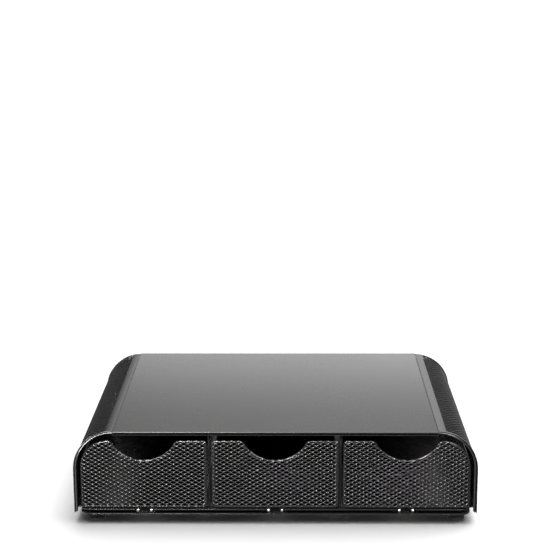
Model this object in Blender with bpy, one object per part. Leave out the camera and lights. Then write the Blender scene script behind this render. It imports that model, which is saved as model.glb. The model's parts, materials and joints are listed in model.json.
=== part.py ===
"""Monitor riser with three mesh drawers, built from separate sheet-metal, wire, mesh and rubber pieces.

Units are metres. X runs across the riser, +Y to its back, +Z up. The origin is on the desk, under the
middle of the riser. The three drawers are closed; each one slides out along -Y.
"""

import math

import bmesh
import bpy
from mathutils import Vector

MM = 0.001

# Overall sizes
WIDTH = 480 * MM  # outside of one side to outside of the other
DEPTH = 330 * MM  # front edge to back edge
HEIGHT = 116 * MM  # desk to the standing surface
BEND_RADIUS = 48 * MM  # outside radius where the top turns down into the sides

# Stock
PLATE = 1.2 * MM  # sheet of the standing surface and the plain parts of the cover
MESH = 0.8 * MM  # expanded-metal sheet
BACK_SHEET = 0.8 * MM  # plain sheet that closes the back
WELD_GAP = 0.3 * MM  # air left between two pieces that touch or are welded

# Cover
TOP_STRIP = 10 * MM  # plain margin between the standing surface and the side mesh, along the bend
SIDE_BOTTOM = 13 * MM  # desk to the lower edge of the sides
CHANNEL_HEIGHT = 4.5 * MM  # edge channel down a side, measured inwards from the outside surface
CHANNEL_THROAT = 2.3 * MM  # edge channel where it starts beside the standing surface
CHANNEL_SETBACK = 3.5 * MM  # how far its outer wall ends behind its inner wall
CHANNEL_DEPTH = 5.7 * MM  # edge channel, measured from the open mouth to its back
CHANNEL_WALL = 1.0 * MM
CHANNEL_CUT = 3.5 * MM  # how much higher the inner wall of a channel ends than the outer wall
HEM_HEIGHT = 7.5 * MM  # upright leg of the angle along the bottom of each side
HEM_SEAT = 5 * MM  # how far its level leg lies over the side rail

# Base
RAIL_BOTTOM = 12 * MM
RAIL_HEIGHT = 7 * MM
RAIL_DEPTH = 9 * MM
RAIL_WALL = 1.2 * MM
RAIL_SETBACK = 0.5 * MM  # front edge of the cover to the mouth of the front rail
RAIL_SIDE_INSET = 7 * MM  # outside of the cover to the mouth of a side rail
RAIL_CORNER = 13 * MM  # outside radius of the bends in the front and rear rails
RUNNER = 4 * MM  # wire that a drawer slides on
RUNNER_SPACING = 16 * MM  # between the two runners under a drawer
RUNNER_ROOM = 0.3 * MM  # a runner to the slot that it passes through
NOTCH_ROOM = 1.5 * MM  # a runner to the end of the gap in the top wall of the front rail
DIVIDER = 3 * MM  # wire of the hoop between two drawers
DIVIDER_BEND = 8 * MM

# Feet
FOOT_DIAMETER = 22.5 * MM
FOOT_INSET_X = 24 * MM  # outside of the cover to a foot's axis
FOOT_INSET_Y = 20 * MM  # front or back edge to a foot's axis
FOOT_COUNTERBORE_DEPTH = 5 * MM
GUSSET = 2 * MM  # sheet of the corner plate that a foot is screwed to
GUSSET_MARGIN = 7 * MM  # material around the screw hole, past the foot's radius
SCREW = 4 * MM
SCREW_HEAD = 8 * MM
SCREW_HEAD_HEIGHT = 2.6 * MM
SCREW_LENGTH = 11 * MM
SCREW_CLEARANCE = 0.35 * MM  # around the shank
HEAD_CLEARANCE = 0.75 * MM  # around the head
GUSSET_RELIEF = 1 * MM  # off the corner that faces the inside of the rail's bend

# Drawers
DRAWER_NAMES = ("left", "middle", "right")
SIDE_ROOM = 4.2 * MM  # edge channel to the outer edge of an outer drawer
DRAWER_ROOM = 4.6 * MM  # between two drawers
HEAD_ROOM = 6.5 * MM  # header to the top of a drawer front
SLIDE_ROOM = 0.6 * MM  # under a drawer floor
FRONT_LIFT = 2 * MM  # top of the front rail to the bottom of a drawer front
RIM = 3 * MM  # wire around a drawer front and along the top of its walls
SMALL_CORNER = 5 * MM  # every corner of a drawer front but the two that follow the bend
SCOOP_RADIUS = 42 * MM
SCOOP_DEPTH = 24 * MM
SCOOP_LIP = 6 * MM  # rounding from the top edge into the scoop
SCOOP_SHOULDER = 0.5 * MM  # least straight stretch of top edge beside the scoop
DRAWER_FLOOR = 1 * MM
WALL_INSET = 4.5 * MM  # edge of the front to the outside of a drawer wall
WALL_DROP = 21 * MM  # top of the front to the top of the wall sheet
WALL_CORNER = 12 * MM
BACK_ROOM = 4 * MM  # drawer wall to the back panel
TRAVEL = 225 * MM  # how far a drawer slides before its shoe meets the front rail
STOP_ROOM = 0.5 * MM
SHOE_LENGTH = 24 * MM
SHOE_SIDE_ROOM = 1 * MM  # neck to a runner
SHOE_HOOK = 5 * MM  # how far the foot reaches under each runner from the neck's room
SHOE_FOOT_HEIGHT = 2.6 * MM
SHOE_ROOM = 0.6 * MM  # under the runners

# Places worked out from the sizes
FRONT = -DEPTH / 2
BACK = DEPTH / 2
SEAM = WIDTH / 2 - BEND_RADIUS  # where the flat top ends and the bend starts
BEND_Z = HEIGHT - BEND_RADIUS
STRIP_ANGLE = TOP_STRIP / BEND_RADIUS
RAIL_TOP = RAIL_BOTTOM + RAIL_HEIGHT
RAIL_BACK = RAIL_SETBACK + RAIL_DEPTH  # front edge of the cover to the inner face of the front rail
RUNNER_Z = RAIL_TOP - RUNNER / 2
CLADDING_FRONT = FRONT + CHANNEL_DEPTH + WELD_GAP  # sheets that lie between the edge channels
LINER_TOP = HEIGHT - PLATE - WELD_GAP
DRAWER_COUNT = len(DRAWER_NAMES)
DRAWER_EDGE = CHANNEL_HEIGHT + SIDE_ROOM  # outside of the cover to the outer edge of an outer drawer
DRAWER_WIDTH = (WIDTH - 2 * DRAWER_EDGE - (DRAWER_COUNT - 1) * DRAWER_ROOM) / DRAWER_COUNT
DRAWER_PITCH = DRAWER_WIDTH + DRAWER_ROOM
FLOOR_BOTTOM = RAIL_TOP + SLIDE_ROOM
WALL_BOTTOM = FLOOR_BOTTOM + DRAWER_FLOOR + WELD_GAP
FRONT_BOTTOM = RAIL_TOP + FRONT_LIFT
FRONT_TOP = HEIGHT - CHANNEL_HEIGHT - HEAD_ROOM
RIM_Y = FRONT + 0.1 * MM + RIM / 2
BODY_FRONT = RIM_Y + RIM / 2 + WELD_GAP
PANEL_Y = BACK - CHANNEL_DEPTH - WELD_GAP - BACK_SHEET  # front face of the back panel
BODY_BACK = PANEL_Y - BACK_ROOM
WALL_HEIGHT = FRONT_TOP - WALL_DROP - WALL_BOTTOM
SHOE_FRONT = FRONT + RAIL_BACK + STOP_ROOM + TRAVEL
SHOE_NECK = RUNNER_SPACING - RUNNER - 2 * SHOE_SIDE_ROOM
SHOE_FOOT = SHOE_NECK + 2 * (SHOE_SIDE_ROOM + SHOE_HOOK)
RUNNER_SLOT = RUNNER + 2 * RUNNER_ROOM
RAIL_NOTCH = RUNNER_SPACING + RUNNER + 2 * NOTCH_ROOM
HEM_SHELF = RAIL_SIDE_INSET + HEM_SEAT
FOOT_BORE = SCREW + 2 * SCREW_CLEARANCE
FOOT_COUNTERBORE = SCREW_HEAD + 2 * HEAD_CLEARANCE

# Facets
BEND_STEPS = 10  # in a quarter turn of the cover
CORNER_STEPS = 4  # in a small quarter turn
ROUND_SIDES = 20  # around a foot or a screw
WIRE_RESOLUTION = 2  # eight sides around a wire


def finish(name, colour, roughness, metallic):
    """A Principled material, made once for each name."""
    material = bpy.data.materials.get(name)
    if material is None:
        material = bpy.data.materials.new(name)
        material.use_nodes = True
        shader = material.node_tree.nodes["Principled BSDF"]
        shader.inputs["Base Color"].default_value = (*colour, 1)
        shader.inputs["Roughness"].default_value = roughness
        shader.inputs["Metallic"].default_value = metallic
    return material


def satin_black():
    return finish("satin_black_paint", (0.035, 0.034, 0.036), 0.35, 0.0)


def gloss_black():
    return finish("gloss_black_paint", (0.02, 0.02, 0.021), 0.2, 0.0)


def mesh_black():
    return finish("black_mesh_paint", (0.03, 0.03, 0.031), 0.3, 0.0)


def rubber():
    return finish("black_rubber", (0.018, 0.018, 0.018), 0.8, 0.0)


def zinc():
    return finish("zinc_plate", (0.62, 0.62, 0.6), 0.35, 1.0)


def nylon():
    return finish("black_nylon", (0.03, 0.03, 0.03), 0.5, 0.0)


def place(name, mesh_or_curve, material, location=(0, 0, 0), parent=None):
    """Puts a mesh or a curve in the scene under its sub-part's name."""
    if not mesh_or_curve.materials:
        mesh_or_curve.materials.append(material)
    piece = bpy.data.objects.new(name, mesh_or_curve)
    bpy.context.scene.collection.objects.link(piece)
    piece.location = location
    piece.parent = parent
    return piece


def loft(name, rings, looped=False):
    """A closed mesh through rings of points, with its ends capped, or joined if it is looped."""
    shape = bmesh.new()
    lines = [[shape.verts.new(point) for point in ring] for ring in rings]
    count = len(rings[0])
    pairs = list(zip(lines, lines[1:]))
    if looped:
        pairs.append((lines[-1], lines[0]))
    for near, far in pairs:
        for i in range(count):
            j = (i + 1) % count
            shape.faces.new((near[i], near[j], far[j], far[i]))
    if not looped:
        shape.faces.new(lines[0][::-1])
        shape.faces.new(lines[-1])
    bmesh.ops.recalc_face_normals(shape, faces=shape.faces)
    mesh = bpy.data.meshes.new(name)
    shape.to_mesh(mesh)
    shape.free()
    return mesh


def box(name, low, high):
    (x0, y0, z0), (x1, y1, z1) = low, high
    floor = [(x0, y0), (x1, y0), (x1, y1), (x0, y1)]
    return loft(name, [[(x, y, z) for x, y in floor] for z in (z0, z1)])


def extruded_y(name, outline, y0, y1):
    """An outline in X and Z, drawn out from y0 to y1."""
    return loft(name, [[(x, y, z) for x, z in outline] for y in (y0, y1)])


def extruded_z(name, outline, z0, z1):
    """An outline in X and Y, drawn up from z0 to z1."""
    return loft(name, [[(x, y, z) for x, y in outline] for z in (z0, z1)])


def turned(name, profile, looped=False):
    """A round piece about Z from (radius, height) pairs. A looped profile leaves a bore."""
    rings = []
    for radius, height in profile:
        turn = [math.tau * i / ROUND_SIDES for i in range(ROUND_SIDES)]
        rings.append([(radius * math.cos(a), radius * math.sin(a), height) for a in turn])
    mesh = loft(name, rings, looped)
    mesh.shade_smooth()
    mesh.set_sharp_from_angle(angle=math.radians(35))
    return mesh


def wire(name, points, diameter, closed=False):
    """A bent wire along the points, with flat ends unless it is closed."""
    curve = bpy.data.curves.new(name, "CURVE")
    curve.dimensions = "3D"
    curve.bevel_depth = diameter / 2
    curve.bevel_resolution = WIRE_RESOLUTION
    curve.use_fill_caps = not closed
    spline = curve.splines.new("POLY")
    spline.points.add(len(points) - 1)
    for target, point in zip(spline.points, points):
        target.co = (*point, 1)
    spline.use_cyclic_u = closed
    return curve


def arc(centre, radius, start, end, steps):
    """Points on a circle in two dimensions, from the start angle to the end angle in degrees."""
    points = []
    for i in range(steps + 1):
        angle = math.radians(start + (end - start) * i / steps)
        points.append((centre[0] + radius * math.cos(angle), centre[1] + radius * math.sin(angle)))
    return points


def bend_point(side, inset, angle):
    """A point on the cover's section. The angle is 0 at the seam and a quarter turn at the side wall."""
    radius = BEND_RADIUS - inset
    return side * (SEAM + radius * math.sin(angle)), BEND_Z + radius * math.cos(angle)


def bend_line(side, inset, start=0.0):
    """The cover's section from an angle on the bend to the start of the side wall."""
    angles = [start + (math.pi / 2 - start) * i / BEND_STEPS for i in range(BEND_STEPS + 1)]
    return [bend_point(side, inset, angle) for angle in angles]


def side_name(side):
    return "left" if side < 0 else "right"


# Cover


def make_top_plate():
    half = SEAM - WELD_GAP
    low = (-half, FRONT, HEIGHT - PLATE)
    place("top_plate", box("top_plate", low, (half, BACK, HEIGHT)), satin_black())


def make_top_liner():
    """The sheet of mesh that backs the standing surface and joins the two side meshes."""
    half = SEAM - WELD_GAP
    low = (-half, CLADDING_FRONT, LINER_TOP - MESH)
    high = (half, -CLADDING_FRONT, LINER_TOP)
    place("top_liner_mesh", box("top_liner_mesh", low, high), mesh_black())


def make_top_strip(side):
    """The plain margin of the side, which starts the bend."""
    steps = 3
    outline = [bend_point(side, 0, STRIP_ANGLE * i / steps) for i in range(steps + 1)]
    outline += [bend_point(side, PLATE, STRIP_ANGLE * i / steps) for i in range(steps, -1, -1)]
    name = side_name(side) + "_top_strip"
    place(name, extruded_y(name, outline, CLADDING_FRONT, -CLADDING_FRONT), satin_black())


def make_side_mesh(side):
    """The mesh that turns down from the strip and stands on the angle along the bottom."""
    start = STRIP_ANGLE + WELD_GAP / BEND_RADIUS
    foot = SIDE_BOTTOM + HEM_HEIGHT + WELD_GAP
    outer = bend_line(side, 0, start) + [(side * WIDTH / 2, foot)]
    inner = bend_line(side, MESH, start) + [(side * (WIDTH / 2 - MESH), foot)]
    name = side_name(side) + "_side_mesh"
    mesh = extruded_y(name, outer + inner[::-1], CLADDING_FRONT, -CLADDING_FRONT)
    place(name, mesh, mesh_black())


def channel_profile(height):
    """(inset, back) around an edge channel. The mouth's outer wall is shorter than its inner wall."""
    depth, wall = CHANNEL_DEPTH, CHANNEL_WALL
    return [
        (0, CHANNEL_SETBACK),
        (wall, CHANNEL_SETBACK),
        (wall, depth - wall),
        (height - wall, depth - wall),
        (height - wall, 0),
        (height, 0),
        (height, depth),
        (0, depth),
    ]


def make_edge_channel(side, end):
    """The channel around the front (end -1) or back (end 1) edge of one side. It widens down the bend."""
    edge = end * DEPTH / 2
    rings = []
    for i in range(BEND_STEPS + 1):
        angle = math.pi / 2 * i / BEND_STEPS
        height = CHANNEL_HEIGHT - (CHANNEL_HEIGHT - CHANNEL_THROAT) * math.cos(angle)
        ring = []
        for inset, back in channel_profile(height):
            x, z = bend_point(side, inset, angle)
            ring.append((x, edge - end * back, z))
        rings.append(ring)
    foot = []
    for inset, back in channel_profile(CHANNEL_HEIGHT):
        z = SIDE_BOTTOM + CHANNEL_CUT * inset / CHANNEL_HEIGHT
        foot.append((side * (WIDTH / 2 - inset), edge - end * back, z))
    rings.append(foot)
    name = f"{side_name(side)}_{'front' if end < 0 else 'rear'}_channel"
    place(name, loft(name, rings), gloss_black())


def make_header(end):
    """The angle under the front or back edge of the plate, which makes the third wall of the channel."""
    edge = end * DEPTH / 2
    roof = HEIGHT - PLATE - WELD_GAP
    depth, wall = CHANNEL_DEPTH, CHANNEL_WALL
    low = HEIGHT - CHANNEL_HEIGHT
    section = [
        (edge, low),
        (edge, low + wall),
        (edge - end * (depth - wall), low + wall),
        (edge - end * (depth - wall), roof),
        (edge - end * depth, roof),
        (edge - end * depth, low),
    ]
    half = SEAM - WELD_GAP
    name = "front_header" if end < 0 else "rear_header"
    rings = [[(x, y, z) for y, z in section] for x in (-half, half)]
    place(name, loft(name, rings), gloss_black())


def make_bottom_angle(side):
    """The angle that stiffens the bottom of a side and joins it to the side rail."""
    outside = side * WIDTH / 2
    shelf = RAIL_TOP + WELD_GAP
    section = [
        (outside, SIDE_BOTTOM),
        (outside, SIDE_BOTTOM + HEM_HEIGHT),
        (outside - side * HEM_SHELF, SIDE_BOTTOM + HEM_HEIGHT),
        (outside - side * HEM_SHELF, shelf),
        (outside - side * PLATE, shelf),
        (outside - side * PLATE, SIDE_BOTTOM),
    ]
    name = side_name(side) + "_bottom_angle"
    mesh = extruded_y(name, section, CLADDING_FRONT, -CLADDING_FRONT)
    place(name, mesh, satin_black())


def make_back_panel():
    """The plain sheet that closes the back, inside the rear channels and on the rear rail."""
    inset = CHANNEL_HEIGHT + WELD_GAP
    foot = RAIL_TOP + WELD_GAP
    half = WIDTH / 2 - max(inset, HEM_SHELF + WELD_GAP)
    right = [point for point in bend_line(1, inset) if point[0] < half]
    outline = right + [(half, BEND_Z), (half, foot)]
    outline += [(-x, z) for x, z in reversed(outline)]
    mesh = extruded_y("back_panel", outline, PANEL_Y, PANEL_Y + BACK_SHEET)
    place("back_panel", mesh, satin_black())


# Base


def rail_section():
    """(inset from the mouth, height) around the rail's channel, whose mouth faces out of the riser."""
    return [
        (0, RAIL_BOTTOM),
        (RAIL_DEPTH, RAIL_BOTTOM),
        (RAIL_DEPTH, RAIL_TOP),
        (0, RAIL_TOP),
        (0, RAIL_TOP - RAIL_WALL),
        (RAIL_DEPTH - RAIL_WALL, RAIL_TOP - RAIL_WALL),
        (RAIL_DEPTH - RAIL_WALL, RAIL_BOTTOM + RAIL_WALL),
        (0, RAIL_BOTTOM + RAIL_WALL),
    ]


def make_cross_rail(end):
    """The front or rear rail, with a bend at each end that turns it towards the side rail."""
    edge = end * (DEPTH / 2 - RAIL_SETBACK)
    half = WIDTH / 2 - RAIL_SIDE_INSET
    centre_x, centre_y = half - RAIL_CORNER, edge - end * RAIL_CORNER
    rings = []
    for side in (-1, 1):
        turn = range(CORNER_STEPS + 1) if side > 0 else range(CORNER_STEPS, -1, -1)
        for i in turn:
            angle = math.pi / 2 * i / CORNER_STEPS
            ring = []
            for inset, z in rail_section():
                radius = RAIL_CORNER - inset
                x = side * (centre_x + radius * math.sin(angle))
                ring.append((x, centre_y + end * radius * math.cos(angle), z))
            rings.append(ring)
    name = "front_rail" if end < 0 else "rear_rail"
    return place(name, loft(name, rings), gloss_black())


def make_side_rail(side):
    half = side * (WIDTH / 2 - RAIL_SIDE_INSET)
    end = DEPTH / 2 - RAIL_SETBACK - RAIL_CORNER - WELD_GAP
    name = side_name(side) + "_rail"
    rings = [[(half - side * inset, y, z) for inset, z in rail_section()] for y in (-end, end)]
    place(name, loft(name, rings), gloss_black())


def cut(piece, name, mesh):
    """Takes a cutter's shape out of a piece."""
    cutter = place(name, mesh, satin_black())
    cutter.hide_render = True
    cutter.display_type = "WIRE"
    modifier = piece.modifiers.new(name, "BOOLEAN")
    modifier.operation = "DIFFERENCE"
    modifier.object = cutter


def notch_front_rail(rail, name, x):
    """Opens the rail for one drawer's runners: its top wall between them, and a slot for each."""
    past = 1 * MM
    lip_back = FRONT + RAIL_BACK - RAIL_WALL
    low = (x - RAIL_NOTCH / 2, FRONT - past, RAIL_TOP - RAIL_WALL - past)
    high = (x + RAIL_NOTCH / 2, lip_back - WELD_GAP, RAIL_TOP + past)
    cut(rail, f"{name}_notch_cutter", box("notch", low, high))
    for number, wire_x in enumerate(runner_places(x)):
        low = (wire_x - RUNNER_SLOT / 2, lip_back - past, RUNNER_Z - RUNNER / 2 - WELD_GAP)
        high = (wire_x + RUNNER_SLOT / 2, lip_back + RAIL_WALL + past, RAIL_TOP + past)
        cut(rail, f"{name}_slot_cutter_{number}", box("slot", low, high))


def runner_places(x):
    return (x - RUNNER_SPACING / 2, x + RUNNER_SPACING / 2)


def make_runners(name, x):
    """The two plated wires under a drawer, from the mouth of the front rail to the back of the rear one."""
    start = FRONT + RAIL_SETBACK + WELD_GAP
    end = BACK - RAIL_BACK - WELD_GAP
    for letter, wire_x in zip("ab", runner_places(x)):
        points = [(0, 0, 0), (0, end - start, 0)]
        title = f"{name}_runner_{letter}"
        place(title, wire(title, points, RUNNER), zinc(), (wire_x, start, RUNNER_Z))


def make_divider(name, x):
    """The wire hoop between two drawers. It stands on the rails and holds up the middle of the top."""
    front_leg = CLADDING_FRONT + DIVIDER / 2
    rear_leg = PANEL_Y - WELD_GAP - DIVIDER / 2
    foot = RAIL_TOP + WELD_GAP
    bend_z = LINER_TOP - MESH - WELD_GAP - DIVIDER / 2 - DIVIDER_BEND
    line = [(front_leg, foot)]
    line += arc((front_leg + DIVIDER_BEND, bend_z), DIVIDER_BEND, 180, 90, CORNER_STEPS)
    line += arc((rear_leg - DIVIDER_BEND, bend_z), DIVIDER_BEND, 90, 0, CORNER_STEPS)
    line += [(rear_leg, foot)]
    points = [(0, y, z) for y, z in line]
    place(name, wire(name, points, DIVIDER), gloss_black(), (x, 0, 0))


# Feet


def foot_places():
    """(name, x, y) of each corner."""
    x, y = WIDTH / 2 - FOOT_INSET_X, DEPTH / 2 - FOOT_INSET_Y
    return [
        (f"{end_name}_{side_name(side)}", side * x, end * y)
        for end_name, end in (("front", -1), ("rear", 1))
        for side in (-1, 1)
    ]


def foot_mesh():
    """A rubber foot with a recess for the screw's head."""
    top = RAIL_BOTTOM - WELD_GAP
    radius = FOOT_DIAMETER / 2
    edge = 3 * MM
    rounding = arc((radius - edge, edge), edge, -90, 0, 3)
    profile = [(FOOT_COUNTERBORE / 2, 0)] + rounding
    profile += [
        (radius, top),
        (FOOT_BORE / 2, top),
        (FOOT_BORE / 2, FOOT_COUNTERBORE_DEPTH),
        (FOOT_COUNTERBORE / 2, FOOT_COUNTERBORE_DEPTH),
    ]
    return turned("foot", profile, looped=True)


def screw_mesh():
    """A pan-head screw, head down, with the underside of its head at height 0."""
    head, shank, rise = SCREW_HEAD / 2, SCREW / 2, SCREW_HEAD_HEIGHT
    profile = [
        (head * 0.45, -rise),
        (head * 0.8, -rise * 0.8),
        (head, -rise * 0.4),
        (head, 0),
        (shank, 0),
        (shank, SCREW_LENGTH - shank / 2),
        (shank / 2, SCREW_LENGTH),
    ]
    return turned("foot_screw", profile)


def gusset_mesh(side, end):
    """A corner plate, drawn from the screw's axis, whose inner corner is cut off."""
    to_rail_x = FOOT_INSET_X - RAIL_SIDE_INSET - RAIL_DEPTH - WELD_GAP
    to_rail_y = FOOT_INSET_Y - RAIL_BACK - WELD_GAP
    far = FOOT_DIAMETER / 2 + GUSSET_MARGIN
    corner_cut = far * 0.6
    relief = max(0.0, RAIL_CORNER - RAIL_DEPTH) + GUSSET_RELIEF
    outline = [
        (to_rail_x - relief, to_rail_y),
        (to_rail_x, to_rail_y - relief),
        (to_rail_x, -far),
        (-far + corner_cut, -far),
        (-far, -far + corner_cut),
        (-far, to_rail_y),
    ]
    outline = [(side * x, end * y) for x, y in outline]
    return extruded_z("corner_plate", outline, 0, GUSSET)


def make_corner(name, x, y):
    """A foot, its screw and the corner plate that they hang from."""
    foot = bpy.data.meshes.get("foot") or foot_mesh()
    screw = bpy.data.meshes.get("foot_screw") or screw_mesh()
    place(f"{name}_foot", foot, rubber(), (x, y, 0))
    seat = FOOT_COUNTERBORE_DEPTH - WELD_GAP
    place(f"{name}_foot_screw", screw, zinc(), (x, y, seat))
    side, end = math.copysign(1, x), math.copysign(1, y)
    plate = place(f"{name}_corner_plate", gusset_mesh(side, end), gloss_black(), (x, y, RAIL_BOTTOM))
    hole = turned("screw_hole", [(FOOT_BORE / 2, -GUSSET), (FOOT_BORE / 2, 2 * GUSSET)])
    cut(plate, f"{name}_hole_cutter", hole)
    bpy.data.objects[f"{name}_hole_cutter"].location = (x, y, RAIL_BOTTOM)


# Drawers


def corner_radii(index):
    """Top-left and top-right corner radii of a drawer front, limited by the room beside the scoop."""
    limit = DRAWER_WIDTH / 2 - scoop_reach() - SCOOP_SHOULDER
    outer = min(BEND_RADIUS - DRAWER_EDGE, limit)
    small = min(SMALL_CORNER, limit)
    return (outer if index == 0 else small, outer if index == DRAWER_COUNT - 1 else small)


def scoop_reach():
    """Middle of the scoop to the centre of the rounding beside it."""
    rise = SCOOP_RADIUS - SCOOP_DEPTH + SCOOP_LIP
    return math.sqrt((SCOOP_RADIUS + SCOOP_LIP) ** 2 - rise**2)


def front_outline(index, inset):
    """The drawer front's edge in X and Z, anticlockwise from the bottom right, moved in by the inset."""
    half = DRAWER_WIDTH / 2
    top_left, top_right = corner_radii(index)
    low, small = FRONT_BOTTOM, SMALL_CORNER
    least = 0.2 * MM

    def corner(centre_x, centre_z, radius, start, steps=CORNER_STEPS):
        rounding = max(radius - inset, least)
        drift = radius - inset - rounding
        turn = math.radians(start + 45)
        centre = (
            centre_x + drift * math.copysign(1, math.cos(turn)),
            centre_z + drift * math.copysign(1, math.sin(turn)),
        )
        return arc(centre, rounding, start, start + 90, steps)

    scoop_z = FRONT_TOP - SCOOP_DEPTH + SCOOP_RADIUS
    reach = scoop_reach()
    lip_z = FRONT_TOP - SCOOP_LIP
    lean = math.degrees(math.atan2(scoop_z - lip_z, reach))
    points = corner(half - small, low + small, small, -90)
    points += corner(half - top_right, FRONT_TOP - top_right, top_right, 0, round_steps(top_right))
    points += arc((reach, lip_z), SCOOP_LIP - inset, 90, 180 - lean, CORNER_STEPS)
    points += arc((0, scoop_z), SCOOP_RADIUS + inset, -lean, -180 + lean, 2 * CORNER_STEPS + 2)[1:-1]
    points += arc((-reach, lip_z), SCOOP_LIP - inset, lean, 90, CORNER_STEPS)
    points += corner(-half + top_left, FRONT_TOP - top_left, top_left, 90, round_steps(top_left))
    points += corner(-half + small, low + small, small, 180)
    return points


def round_steps(radius):
    return CORNER_STEPS if radius <= SMALL_CORNER else 2 * CORNER_STEPS


def wall_line(inset):
    """The drawer's wall seen from above, from its front right end round the back to its front left end."""
    half = DRAWER_WIDTH / 2 - WALL_INSET - inset
    back = BODY_BACK - inset
    radius = WALL_CORNER - inset
    right = arc((half - radius, back - radius), radius, 0, 90, CORNER_STEPS)
    left = arc((-half + radius, back - radius), radius, 90, 180, CORNER_STEPS)
    return [(half, BODY_FRONT)] + right + left + [(-half, BODY_FRONT)]


def make_drawer(index):
    """One drawer: mesh front in a wire rim, mesh walls under a wire rim, sheet floor and guide shoe."""
    side = DRAWER_NAMES[index]
    x = (index - (DRAWER_COUNT - 1) / 2) * DRAWER_PITCH
    slide = bpy.data.objects.new(f"{side}_drawer_slide", None)
    bpy.context.scene.collection.objects.link(slide)
    slide.location = (x, 0, 0)

    name = f"{side}_drawer_front_mesh"
    outline = front_outline(index, RIM + WELD_GAP)
    mesh = extruded_y(name, outline, RIM_Y - MESH / 2, RIM_Y + MESH / 2)
    place(name, mesh, mesh_black(), parent=slide)

    name = f"{side}_drawer_front_rim"
    points = [(px, 0, pz) for px, pz in front_outline(index, RIM / 2)]
    place(name, wire(name, points, RIM, closed=True), gloss_black(), (0, RIM_Y, 0), slide)

    name = f"{side}_drawer_floor"
    mesh = extruded_z(name, wall_line(0), FLOOR_BOTTOM, FLOOR_BOTTOM + DRAWER_FLOOR)
    place(name, mesh, satin_black(), parent=slide)

    name = f"{side}_drawer_wall_mesh"
    outline = wall_line(0) + wall_line(MESH)[::-1]
    mesh = extruded_z(name, outline, WALL_BOTTOM, WALL_BOTTOM + WALL_HEIGHT)
    place(name, mesh, mesh_black(), parent=slide)

    name = f"{side}_drawer_wall_rim"
    height = WALL_BOTTOM + WALL_HEIGHT + WELD_GAP + RIM / 2
    points = [(px, py, 0) for px, py in wall_line(MESH / 2)]
    place(name, wire(name, points, RIM), gloss_black(), (0, 0, height), slide)

    make_shoe(side, slide)
    return x


def make_shoe(side, slide):
    """The shoe under a drawer. Its neck runs between the runners and its foot hooks under them."""
    name = f"{side}_drawer_guide_shoe"
    top = FLOOR_BOTTOM - WELD_GAP
    step = RUNNER_Z - RUNNER / 2 - SHOE_ROOM
    neck, foot = SHOE_NECK / 2, SHOE_FOOT / 2
    section = [
        (neck, top),
        (-neck, top),
        (-neck, step),
        (-foot, step),
        (-foot, step - SHOE_FOOT_HEIGHT),
        (foot, step - SHOE_FOOT_HEIGHT),
        (foot, step),
        (neck, step),
    ]
    mesh = extruded_y(name, section, 0, SHOE_LENGTH)
    place(name, mesh, nylon(), (0, SHOE_FRONT, 0), slide)


def main():
    for old in list(bpy.data.objects):
        bpy.data.objects.remove(old)
    make_top_plate()
    make_top_liner()
    for side in (-1, 1):
        make_top_strip(side)
        make_side_mesh(side)
        make_bottom_angle(side)
        make_side_rail(side)
        for end in (-1, 1):
            make_edge_channel(side, end)
    make_back_panel()
    for end in (-1, 1):
        make_header(end)
    front_rail = make_cross_rail(-1)
    make_cross_rail(1)
    for name, x, y in foot_places():
        make_corner(name, x, y)
    for index in range(DRAWER_COUNT):
        x = make_drawer(index)
        make_runners(DRAWER_NAMES[index], x)
        notch_front_rail(front_rail, DRAWER_NAMES[index], x)
    for name, x in (("left_divider", -DRAWER_PITCH / 2), ("right_divider", DRAWER_PITCH / 2)):
        make_divider(name, x)


main()
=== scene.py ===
# %% [markdown]
# # A monitor riser with three mesh drawers
# The riser is bent sheet metal, wire and expanded-metal mesh, all painted black. Its solids already exist
# as plain shapes that fit and move. This lesson dresses them: it makes the open mesh, the round wires and
# folded edges, and the paints. Each piece replaces one plain solid and moves with the same body.

# %% Load the solids
import json
import math

import bmesh
import bpy
import numpy as np
from mathutils import Matrix, Vector

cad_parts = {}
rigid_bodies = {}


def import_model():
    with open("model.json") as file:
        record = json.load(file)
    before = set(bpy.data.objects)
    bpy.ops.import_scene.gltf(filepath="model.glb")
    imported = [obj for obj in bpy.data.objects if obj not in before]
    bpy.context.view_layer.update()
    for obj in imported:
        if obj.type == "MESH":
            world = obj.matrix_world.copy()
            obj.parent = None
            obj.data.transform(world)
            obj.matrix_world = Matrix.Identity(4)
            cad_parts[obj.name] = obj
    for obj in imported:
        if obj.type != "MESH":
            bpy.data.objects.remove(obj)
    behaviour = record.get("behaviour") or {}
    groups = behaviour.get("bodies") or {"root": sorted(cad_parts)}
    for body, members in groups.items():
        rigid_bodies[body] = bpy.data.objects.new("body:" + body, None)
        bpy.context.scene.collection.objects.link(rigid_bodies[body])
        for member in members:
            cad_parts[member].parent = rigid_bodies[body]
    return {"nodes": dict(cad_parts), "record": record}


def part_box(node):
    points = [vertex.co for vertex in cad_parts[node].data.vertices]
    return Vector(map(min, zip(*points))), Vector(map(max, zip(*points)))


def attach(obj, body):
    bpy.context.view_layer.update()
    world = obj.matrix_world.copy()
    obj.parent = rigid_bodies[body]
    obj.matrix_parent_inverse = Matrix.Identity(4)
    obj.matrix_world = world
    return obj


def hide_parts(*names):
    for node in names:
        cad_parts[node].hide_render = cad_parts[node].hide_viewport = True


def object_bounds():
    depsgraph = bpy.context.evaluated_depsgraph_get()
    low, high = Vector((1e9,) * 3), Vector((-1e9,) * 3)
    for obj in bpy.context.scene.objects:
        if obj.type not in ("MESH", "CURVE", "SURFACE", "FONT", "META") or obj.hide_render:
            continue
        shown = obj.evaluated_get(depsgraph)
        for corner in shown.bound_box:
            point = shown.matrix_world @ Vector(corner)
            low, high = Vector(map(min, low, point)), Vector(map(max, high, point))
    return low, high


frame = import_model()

cad_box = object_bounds()
MM = 0.001
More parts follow.
